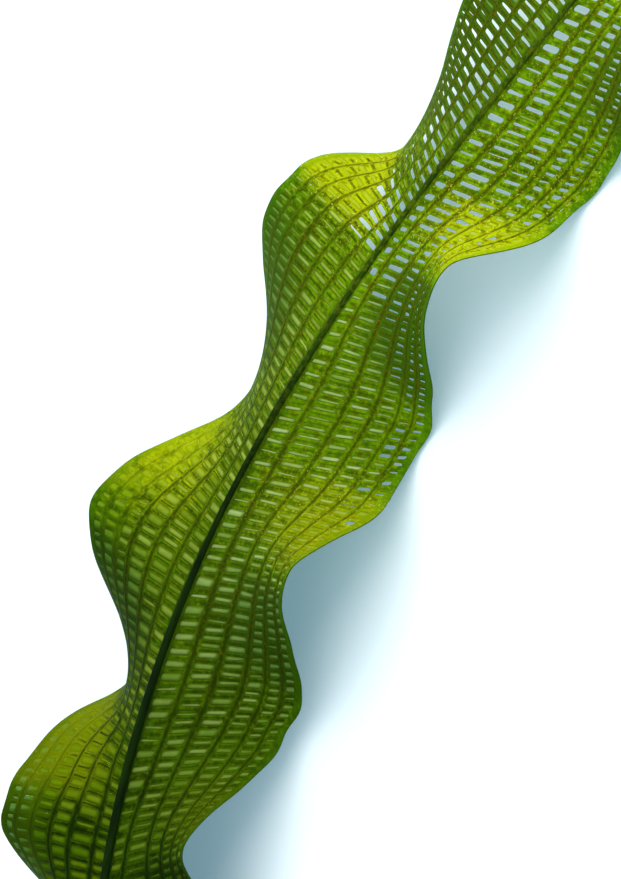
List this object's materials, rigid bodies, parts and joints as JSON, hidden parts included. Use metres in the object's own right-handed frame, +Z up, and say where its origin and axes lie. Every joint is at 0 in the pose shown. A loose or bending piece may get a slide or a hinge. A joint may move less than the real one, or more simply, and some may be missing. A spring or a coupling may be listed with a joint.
{
  "type": "lace plant leaf",
  "caption": "Long strap-shaped aquarium plant leaf with wavy margins: a thick midrib and stalk carry an open net of veins and cross bars on each side.",
  "frame": {"origin": "centre of the leaf's bounding box, on the surface it lies on", "axes": "+X along the leaf's length towards its tip, +Y towards the left half of the blade, +Z up out of the surface"},
  "size_m": [0.5548, 0.1406, 0.0366],
  "materials": {
    "midrib": "satin",
    "blade_left": "satin",
    "blade_right": "satin"
  },
  "bodies": {
    "root": {"stalk_and_midrib": "midrib", "blade_left_half": "blade_left", "blade_right_half": "blade_right"}
  },
  "joints": []
}
